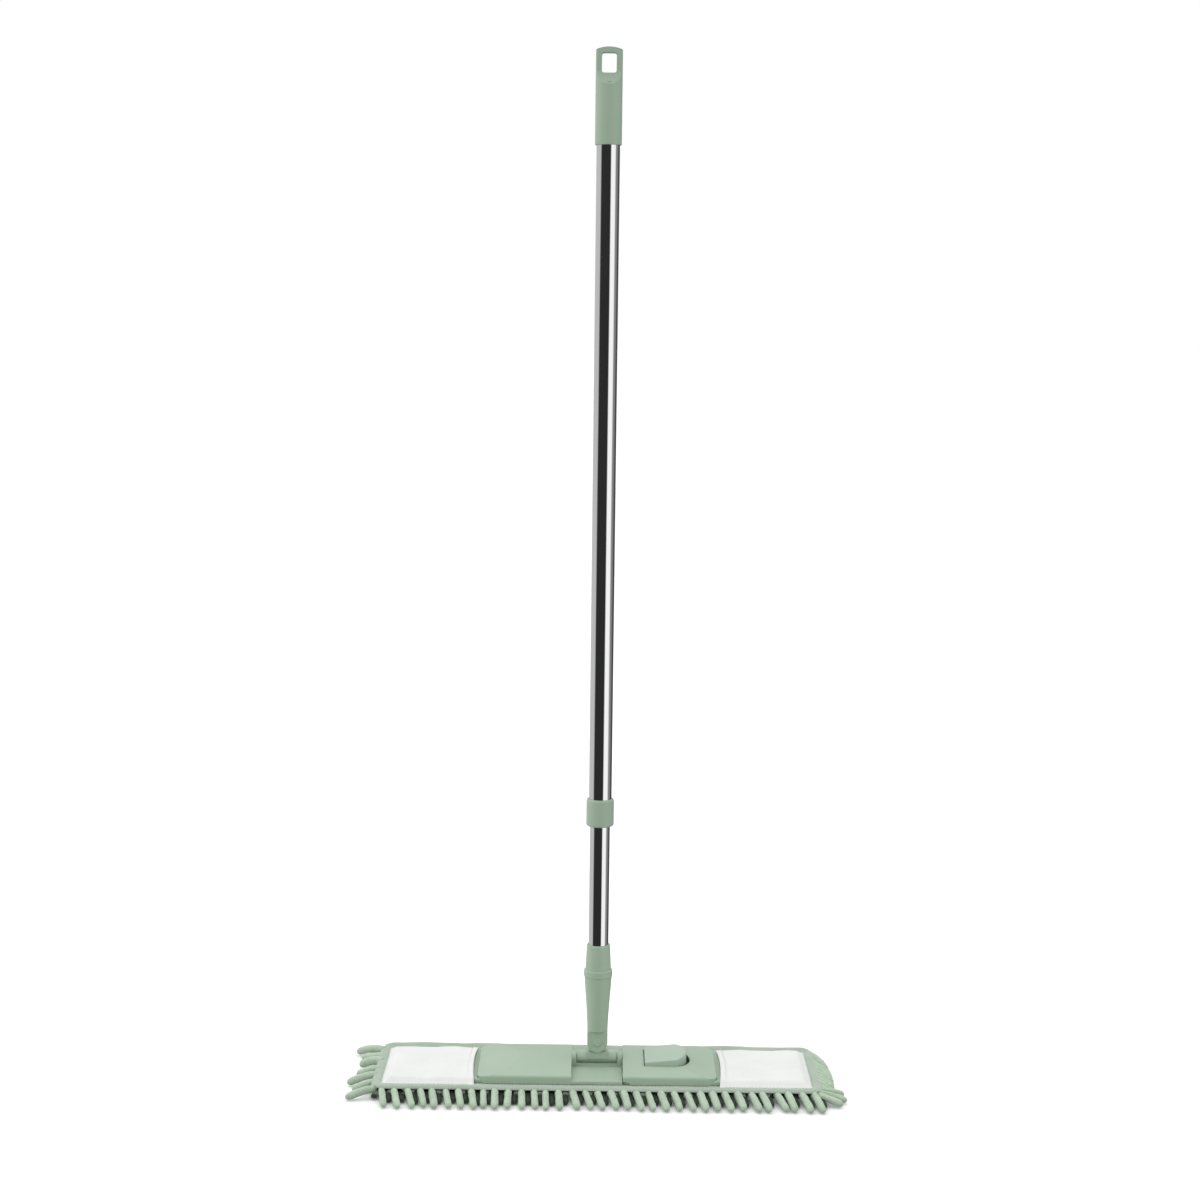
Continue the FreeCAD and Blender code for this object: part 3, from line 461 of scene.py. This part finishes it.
cloth_low, cloth_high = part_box("pad_cloth_left")[0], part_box("pad_cloth_right")[1]
CLOTH_SEAM = 0.004  # what the edge tape takes in
BACK_LIFT = 0.0034  # how far the noodles behind the frame push the pad's back edge up
FRONT_LIFT = 0.0006  # and its front edge
LIFT_FROM, LIFT_TO = 0.0605, 0.069  # where the edge starts and stops rising, out from the middle


def step(value, low, high):
    """A smooth step from 0 at low to 1 at high."""
    t = min(max((value - low) / (high - low), 0), 1)
    return t * t * (3 - 2 * t)


def edge_lift(x, y):
    """How far the pad's edge stands up at a place on it."""
    wave = 0.75 + 0.5 * noise.noise(Vector((x * 14, 0.3, 0.7)))
    back, front = step(y, LIFT_FROM, LIFT_TO), step(-y, LIFT_FROM, LIFT_TO)
    return BACK_LIFT * wave * back + FRONT_LIFT * wave * front


cloth_half = Vector((cloth_high.x, cloth_high.y)) - Vector((CLOTH_SEAM, CLOTH_SEAM))
cloth_thick = cloth_high.z - cloth_low.z
bm = bmesh.new()
bmesh.ops.create_grid(bm, x_segments=124, y_segments=36, size=1)
bmesh.ops.scale(bm, vec=(cloth_half.x, cloth_half.y, 1), verts=bm.verts)
for v in bm.verts:
    v.co.z = cloth_high.z - 0.0003 + 0.0003 * noise.noise(v.co * 60) + edge_lift(v.co.x, v.co.y)
bmesh.ops.solidify(bm, geom=bm.faces[:], thickness=cloth_thick * 0.8)
sage_cloth = woven_polyester("sage_woven_polyester", "#b2c1af", "#96a896", 1.6, 0.25)
base_cloth = finish_mesh(bm, "base_cloth", sage_cloth)
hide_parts("pad_cloth_left", "pad_cloth_right", "pad_fold_strip")
weight_of_fold(base_cloth)


# ---------------------------------------------------------------- edge tape
# Folded polyester tape sewn over the edge of the base cloth and padded by the seam inside it, so it stands up
# as a soft rounded rim that wanders a little.
TAPE_WIDTH = 0.0125
TAPE_ROUND = 0.0022
TAPE_CORNER = 0.016
TAPE_RISE = 0.0014
TAPE_WALL = 0.0003  # how far its outer face leans in
TAPE_CROWN = 0.0003  # how far its middle stands above its shoulders


def pad_outline(bm, half_x, half_y, corner, z):
    """A flat face with the pad's round-cornered outline and short edges along its sides."""
    made = bmesh.ops.create_grid(bm, x_segments=1, y_segments=1, size=1)
    bmesh.ops.scale(bm, vec=(half_x, half_y, 1), verts=made["verts"])
    bmesh.ops.translate(bm, vec=(0, 0, z), verts=made["verts"])
    bmesh.ops.bevel(
        bm, geom=bm.verts[:], offset=corner, segments=7, profile=0.5, affect="VERTICES", material=-1
    )
    for edges, cuts in (
        ([e for e in bm.edges if e.calc_length() > half_x], 110),
        ([e for e in bm.edges if half_x > e.calc_length() > half_y], 26),
    ):
        bmesh.ops.subdivide_edges(bm, edges=edges, cuts=cuts)


def soft_wander(co, height, reach):
    """How far a sewn edge wanders up from flat at a place on the pad."""
    return height * (noise.noise(Vector((co.x, co.y, 0)) / reach) + 0.4 * noise.noise(co * 3 / reach))


bm = bmesh.new()
pad_outline(bm, cloth_high.x, cloth_high.y, TAPE_CORNER, cloth_low.z + 0.0002)
bm.normal_update()
inside = bm.faces[:]
for inward, upward in (
    (TAPE_WALL, cloth_thick),
    (TAPE_ROUND, TAPE_RISE),
    (TAPE_WIDTH / 2 - TAPE_ROUND, TAPE_CROWN),
    (TAPE_WIDTH / 2 - TAPE_ROUND, -TAPE_CROWN),
    (TAPE_ROUND * 0.6, -TAPE_RISE),
):
    bmesh.ops.inset_region(
        bm, faces=inside, thickness=inward, depth=upward, use_boundary=True, use_even_offset=True
    )
bmesh.ops.delete(bm, geom=inside, context="FACES")
for v in bm.verts:
    if v.co.z > cloth_high.z:
        v.co.z += soft_wander(v.co, 0.0005, 0.02)
    v.co.z += edge_lift(v.co.x, v.co.y)
sage_tape = woven_polyester("sage_edge_tape", "#a6b4a5", "#8b9c8c", 1.3, 0.3)
edge_tape = finish_mesh(bm, "edge_tape", sage_tape)
soften = edge_tape.modifiers.new("soften", "SUBSURF")
soften.levels = soften.render_levels = 1
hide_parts("pad_binding_left", "pad_binding_right")


def apply_modifiers(obj):
    """Makes a piece's modifiers part of its mesh."""
    graph = bpy.context.evaluated_depsgraph_get()
    mesh = bpy.data.meshes.new_from_object(obj.evaluated_get(graph))
    obj.modifiers.clear()
    obj.data = mesh


apply_modifiers(edge_tape)
weight_of_fold(edge_tape)


# ---------------------------------------------------------------- edge stitching
# One row of lockstitch in pale thread holds the tape down, 4 mm to the stitch, near its inner edge.
STITCH = 0.004
THREAD = 0.0004  # radius, drawn twice the real thread's so that it shows


def matt_thread():
    """Spun polyester: matt, with a twist that shows as slanting light and dark."""
    material, tree = new_material("polyester_thread")
    place = add_node(tree, "TexCoord")
    twist = add_node(
        tree, "TexWave", {"Scale": 1 / 0.001, "Distortion": 1.0}, {"Vector": place.outputs["Object"]},
        bands_direction="DIAGONAL",
    )
    colour = add_node(
        tree, "MixRGB", {"Color1": tone("#b4c1b1"), "Color2": tone("#d6ded4")}, {"Fac": twist.outputs["Fac"]}
    )
    shader = add_node(
        tree, "BsdfPrincipled", {"Roughness": 0.6, "Sheen Weight": 0.3}, {"Base Color": colour.outputs[0]}
    )
    add_node(tree, "OutputMaterial", links={"Surface": shader.outputs[0]})
    return material


def sew(bm, a, b, z):
    """Stitches along a straight seam from a to b."""
    run = Vector(b) - Vector(a)
    count = max(1, round(run.length / STITCH))
    heading = Matrix.Rotation(math.atan2(run.y, run.x), 4, "Z")
    for i in range(count):
        middle = Vector(a) + run * (i + 0.5) / count
        place = Matrix.Translation((middle.x, middle.y, z + edge_lift(middle.x, middle.y)))
        shape = Matrix.Diagonal((3.6, 1, 0.8, 1))
        bmesh.ops.create_icosphere(bm, subdivisions=1, radius=THREAD, matrix=place @ heading @ shape)


seam = Vector((cloth_high.x, cloth_high.y)) - Vector((TAPE_WIDTH - 0.001, TAPE_WIDTH - 0.001))
seam_z = cloth_high.z + TAPE_RISE
bm = bmesh.new()
for side in (1, -1):
    sew(bm, (-seam.x, side * seam.y), (seam.x, side * seam.y), seam_z)
    sew(bm, (side * seam.x, -seam.y), (side * seam.x, seam.y), seam_z)
thread = matt_thread()
edge_stitches = finish_mesh(bm, "edge_stitches", thread)
weight_of_fold(edge_stitches)


# ---------------------------------------------------------------- pockets
# White polyester cloth sewn on three sides over the wing's flat tip, hemmed at its mouth. It lies on the tip,
# drops off its edges to the seam and is never quite flat.
POCKET_SEAM = 0.004  # what goes under the edge tape
HEM = 0.007
HEM_RISE = 0.0007
MOUTH_GAPE = 0.0022  # how far the mouth stands off the tip at its middle
GAPE_REACH = 0.014  # how far in from the mouth it does
MOUTH_BOW = 0.0035
tip_low, tip_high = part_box("pocket_right")
seam_x, seam_y = cloth_high.x - TAPE_WIDTH + POCKET_SEAM, cloth_high.y - TAPE_WIDTH + POCKET_SEAM
ramp_x, ramp_y = seam_x - 0.0125, seam_y - 0.0135
white_cloth = woven_polyester("white_woven_polyester", "#e0e1df", "#d2d4d1", 1.0, 0.1)


def pocket_height(x, y, seed):
    """The pocket cloth's height: flat on the tip, down to the seam at its three sewn sides."""
    drop = max(step(abs(x), ramp_x, seam_x - 0.003), step(abs(y), ramp_y, seam_y - 0.003))
    top = tip_high.z - 0.0002
    loose = 0.0011 * noise.noise(Vector((x * 34, y * 16, seed)))
    loose += 0.0004 * noise.noise(Vector((x * 90, y * 90, seed)))
    ripple = 0.0009 * noise.noise(Vector((x * 26, seed, 3))) * step(abs(y), 0.02, ramp_y)
    crown = 0.0008 * (1 - (y / seam_y) ** 2)
    gape = MOUTH_GAPE * max(1 - (y / ramp_y) ** 2, 0) * step(tip_low.x + GAPE_REACH - abs(x), 0, GAPE_REACH)
    seam_top = cloth_high.z + 0.0008 + edge_lift(x, y)
    return (top + loose + ripple + crown + gape) * (1 - drop) + seam_top * drop


def pocket_bow(y):
    """How far the mouth bows in at its middle."""
    return MOUTH_BOW * (1 - (y / seam_y) ** 2)


def pocket_cloth(name, side, seed):
    """One pocket, from its hemmed mouth out to the seam: side is -1 on the left and 1 on the right."""
    bm = bmesh.new()
    bmesh.ops.create_grid(bm, x_segments=64, y_segments=72, size=1)
    mouth = tip_low.x
    for v in bm.verts:
        across = (v.co.x + 1) / 2
        y = v.co.y * seam_y
        start = mouth + pocket_bow(y)
        x = start + (seam_x - start) * across
        z = pocket_height(side * x, y, seed)
        hem = step(HEM - (x - start), 0, 0.0012)
        v.co = Vector((side * x, y, z + HEM_RISE * hem - 0.0002 * step(abs(x - start - HEM), 0.0012, 0)))
    bm.normal_update()
    bmesh.ops.solidify(bm, geom=bm.faces[:], thickness=0.001 * side)
    bmesh.ops.recalc_face_normals(bm, faces=bm.faces[:])
    made = finish_mesh(bm, name, white_cloth)
    return made


for name, side, seed, body in (
    ("pocket_cloth_left", -1, 5.0, "frame"),
    ("pocket_cloth_right", 1, 9.0, "wing"),
):
    pocket = pocket_cloth(name, side, seed)
    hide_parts("pocket_left" if side < 0 else "pocket_right")
    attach(pocket, body)
    bm = bmesh.new()
    across = [seam_y * k / 12 for k in range(-11, 12)]
    line = [(tip_low.x + pocket_bow(y) + HEM - 0.001, y) for y in across]
    for a, b in zip(line, line[1:]):
        z = pocket_height(side * a[0], a[1], seed) + HEM_RISE
        sew(bm, (side * a[0], a[1]), (side * b[0], b[1]), z)
    hem_stitches = finish_mesh(bm, name.replace("cloth", "stitches"), thread)
    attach(hem_stitches, body)


# ---------------------------------------------------------------- chenille noodles
# Fat tufted cords of microfibre chenille, looped through the base cloth close together. Those at the edge
# spill out from under the tape and rest their tips on the floor, and those below are pressed flat.
NOODLE = 0.0042  # radius
PITCH = 0.0138  # from one to the next along the edge
TIP_SHARE = 0.17  # how much of a noodle's length its round tip takes


def microfibre_chenille(name, deep, light, root, sheen):
    """Brushed pile: rough and dull. Its colour carries painted shade: darker between the tufts than on them,
    over patches of random tone, and darkest in at the root.

    The real fibres are far finer than a tuft, and only the tufts are drawn, 2.2 mm across.
    """
    material, tree = new_material(name)
    place = add_node(tree, "TexCoord")
    depth = add_node(tree, "Attribute", attribute_name="along")
    tufts = add_node(
        tree, "TexNoise", {"Scale": 1 / 0.0022, "Detail": 3.0}, {"Vector": place.outputs["Object"]}
    )
    patches = add_node(
        tree, "TexNoise", {"Scale": 1 / 0.02, "Detail": 2.0}, {"Vector": place.outputs["Object"]}
    )
    mixed = add_node(
        tree, "Math", {1: 0.6, 2: -0.1}, {0: patches.outputs["Fac"]}, operation="MULTIPLY_ADD"
    )
    # Painted shade: the colour is darker where the tuft noise is low, between the tufts; the patches add
    # random tone.
    pale = add_node(tree, "Math", links={0: tufts.outputs["Fac"], 1: mixed.outputs[0]}, operation="ADD")
    colour = add_node(
        tree, "MixRGB", {"Color1": tone(deep), "Color2": tone(light)}, {"Fac": pale.outputs[0]}
    )
    # Painted shade at the root: near each noodle's root the colour runs to the root colour, by the along
    # attribute.
    out = add_node(
        tree, "MapRange", {"From Min": 0.03, "From Max": 0.2}, {"Value": depth.outputs["Fac"]}
    )
    shaded = add_node(
        tree, "MixRGB", {"Color1": tone(root)}, {"Fac": out.outputs[0], "Color2": colour.outputs[0]}
    )
    bump = add_node(tree, "Bump", {"Strength": 0.9, "Distance": 0.0007}, {"Height": tufts.outputs["Fac"]})
    shader = add_node(
        tree,
        "BsdfPrincipled",
        {"Roughness": 0.95, "Sheen Weight": sheen, "Sheen Roughness": 0.6},
        {"Base Color": shaded.outputs[0], "Normal": bump.outputs[0]},
    )
    add_node(tree, "OutputMaterial", links={"Surface": shader.outputs[0]})
    return material


def noodle(bm, path, radius, around, rings, seed, flat=1.0, dark=0.0):
    """Adds one noodle along a path, which gives a point for each share of the noodle's length.

    dark is how deep in painted shade it lies: it darkens the noodle's colour towards its root, and more than
    half puts it in the darker, sheenless copy of the chenille that paints the shade between the noodles.
    """
    along = bm.verts.layers.float.get("along") or bm.verts.layers.float.new("along")
    made = bmesh.ops.create_uvsphere(bm, u_segments=around, v_segments=rings, radius=1)
    for v in made["verts"]:
        share = (1 - v.co.z) / 2
        turn = math.atan2(v.co.y, v.co.x)
        centre, ahead = path(share), path(min(share + 0.03, 1)) - path(max(share - 0.03, 0))
        side = ahead.cross(Vector((0, 0, 1))).normalized()
        up = side.cross(ahead).normalized()
        from_tip = min(share, 1 - share) / TIP_SHARE
        end = math.sqrt(1 - (1 - from_tip) ** 2) if from_tip < 1 else 1
        spot = Vector((math.cos(turn) * 1.6, math.sin(turn) * 1.6, share * 6 + seed))
        tuft = 1 + 0.13 * noise.noise(spot)
        spread = radius * end * tuft
        v.co = centre + side * math.cos(turn) * spread + up * math.sin(turn) * spread * flat
        # Painted shade: dark lowers along, which the chenille turns towards its dark root colour.
        v[along] = share * (1 - dark)
        # More than half dark puts the faces in the painted-shade copy of the chenille.
        for face in v.link_faces:
            face.material_index = 1 if dark > 0.5 else 0


def fringe_path(root, tip, lift):
    """From under the tape out and down to the floor."""
    root, tip = Vector(root), Vector(tip)

    def at(share):
        point = root.lerp(tip, share)
        point.z = root.z + (tip.z - root.z) * step(share, 0.12, 1.0) + lift * math.sin(math.pi * share)
        return point

    return at


def flat_path(middle, heading, length, bow):
    """Lying pressed under the pad."""
    along = Vector((math.cos(heading), math.sin(heading), 0))
    across = Vector((-along.y, along.x, 0))
    return lambda share: middle + along * length * (share - 0.5) + across * bow * math.sin(math.pi * share)


dice = random.Random(7)
edge_x, edge_y = cloth_high.x, cloth_high.y
ROOT_IN = 0.009  # how far in from the pad's edge the edge noodles start
FRONT_LONGER = 0.007  # how much further the front row reaches than the back one
LOWER_ROW = 0.003  # how far below the first row the second one starts
CORNER_ROOM = 0.012  # what the long sides leave bare at each corner
LEAN = 0.0085  # how far along the head a front noodle's tip is from its root
UPRIGHT_AT, UPRIGHT_REACH = -0.085, 0.055  # where they stand straight instead
PRESSED_LENGTH = 0.028
PRESSED_Z, PRESSED_STEP = 0.0042, 0.0022  # neighbours lie at two heights
ROOT_Z = 0.0088  # how high it starts
fringe_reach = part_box("pad_fringe_left")[1].y - edge_y
end_reach = -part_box("pad_fringe_left")[0].x - edge_x
fold_low, fold_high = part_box("pad_fold_strip")


def slant_at(x):
    """How far a front noodle leans along the head at a place on it."""
    return LEAN - LEAN * math.exp(-(((x - UPRIGHT_AT) / UPRIGHT_REACH) ** 2))


def long_side(side):
    """The two rows of noodles along a long side: root, tip, lift, size and how deep in shade."""
    runs = []
    count = int(2 * (edge_x - CORNER_ROOM) / PITCH)
    for i in range(count + 1):
        x = -edge_x + CORNER_ROOM + i * 2 * (edge_x - CORNER_ROOM) / count + dice.uniform(-0.001, 0.001)
        lean = slant_at(x) * (1 if side < 0 else -0.6) + dice.uniform(-0.0022, 0.0022)
        reach = fringe_reach - NOODLE * 0.3 - dice.uniform(0, 0.0035)
        reach = reach + FRONT_LONGER if side < 0 else reach * 0.8
        root = (x, side * (edge_y - ROOT_IN), ROOT_Z)
        size = dice.uniform(0.86, 1.0)
        runs.append((root, (x + lean, side * (edge_y + reach), NOODLE), dice.uniform(0, 0.0012), size, 0.0))
        below = reach * (dice.uniform(0.4, 0.6) if side < 0 else dice.uniform(0.85, 1))
        root = (x + PITCH / 2, side * (edge_y - 0.01), ROOT_Z - LOWER_ROW)
        tip = (x + PITCH / 2 + lean * 0.5, side * (edge_y + below), NOODLE * 0.8)
        # Painted shade on the second row: 0.92 at the front puts it in the painted-shade chenille, 0.2 at the
        # back darkens it near the root.
        runs.append((root, tip, 0, 0.85, 0.92 if side < 0 else 0.2))
    return runs


def left_end():
    """Seven fat noodles that fan out past the left end and droop at its front corner."""
    runs = []
    for i in range(7):
        share = i / 6
        y = -edge_y + 0.008 + share * 2 * (edge_y - 0.012) + dice.uniform(-0.003, 0.003)
        reach = end_reach + dice.choice((0.009, 0.006, 0.001))
        root = (-edge_x + ROOT_IN, y, ROOT_Z)
        swing = 0.022 * (share - 0.5) + dice.uniform(-0.006, 0.006)
        tip = (-edge_x - reach, y + swing, NOODLE)
        runs.append((root, tip, dice.uniform(0, 0.005), dice.uniform(1, 1.2), 0.0))
        below = (-edge_x - reach * 0.6, y + 0.011 - swing / 2, NOODLE * 0.85)
        # Painted shade on the second row, 0.45 deep.
        runs.append(((-edge_x + ROOT_IN, y + 0.011, ROOT_Z - LOWER_ROW), below, 0, 0.9, 0.45))
    return runs


def right_end():
    """The right end's noodles, swept together towards the front, and three that stick out at its corner."""
    runs = []
    for i in range(11):
        y = -edge_y + 0.03 + i * (2 * edge_y - 0.036) / 10
        reach = 0.016 - 0.004 * abs(i / 5 - 1) ** 2
        root = (edge_x - ROOT_IN, y + 0.004, ROOT_Z + 0.001)
        tip = (edge_x + reach, y - 0.017 + dice.uniform(-0.003, 0.003), NOODLE * 1.1)
        runs.append((root, tip, 0.0012, dice.uniform(0.8, 0.95), 0.0))
    for y, out, turn in ((-0.056, 0.0255, 0.005), (-0.064, 0.027, -0.006), (-0.07, 0.021, -0.014)):
        root = (edge_x - ROOT_IN, y, ROOT_Z)
        runs.append((root, (edge_x + out - NOODLE * 0.3, y + turn, NOODLE), 0.001, 0.95, 0.0))
    return runs


def pressed_field():
    """The noodles under the base cloth, in staggered rows."""
    laid = []
    rows, columns = 10, int(2 * edge_x / PITCH)
    for j in range(rows):
        for i in range(columns):
            x = -edge_x + PITCH * (i + 0.5 + 0.5 * (j % 2))
            y = -edge_y + 0.008 + j * 2 * (edge_y - 0.008) / (rows - 1)
            heading = math.radians(90 + dice.uniform(-24, 24))
            z = PRESSED_Z + PRESSED_STEP * ((i + j) % 2)
            laid.append((Vector((min(x, edge_x - 0.004), y, z)), heading, dice.uniform(-0.003, 0.003)))
    return laid


chenille = microfibre_chenille("microfibre_chenille", "#80967e", "#b3c6b0", "#1f2c23", 0.25)
# The second row is drawn in painted shade: a darker, sheenless copy of the chenille stands in for the shade
# between the noodles of the first.
# Painted shade: this copy's colours are the shade between the noodles, not a second yarn.
painted_shade_chenille = microfibre_chenille("painted_shade_chenille", "#263b2a", "#60805f", "#1a281d", 0.0)
zones = {
    "left": lambda x: x < fold_low.x,
    "fold": lambda x: fold_low.x <= x <= fold_high.x,
    "right": lambda x: x > fold_high.x,
}
fringe_runs = long_side(-1) + long_side(1) + left_end() + right_end()
field_runs = pressed_field()
for zone, inside in zones.items():
    bm = bmesh.new()
    for i, (root, tip, lift, size, dark) in enumerate(fringe_runs):
        if inside(root[0]):
            path = fringe_path(root, tip, lift)
            noodle(bm, path, NOODLE * size, around=12, rings=18, seed=i * 3.7, dark=dark)
    edge_noodles = finish_mesh(bm, "edge_noodles_" + zone, chenille)
    edge_noodles.data.materials.append(painted_shade_chenille)
    bm = bmesh.new()
    for i, (middle, heading, bow) in enumerate(field_runs):
        if inside(middle.x):
            path = flat_path(middle, heading, PRESSED_LENGTH, bow)
            # dark=0.5 paints shade over part of each pressed noodle.
            noodle(bm, path, NOODLE * 1.05, around=8, rings=7, seed=i * 2.3, flat=0.8, dark=0.5)
    field_noodles = finish_mesh(bm, "pressed_noodles_" + zone, chenille)
    for piece in (edge_noodles, field_noodles):
        if zone == "fold":
            weight_of_fold(piece)
        else:
            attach(piece, "frame" if zone == "left" else "wing")
    if zone != "fold":
        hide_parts("pad_fringe_" + zone)
        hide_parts("pad_pile_" + zone)
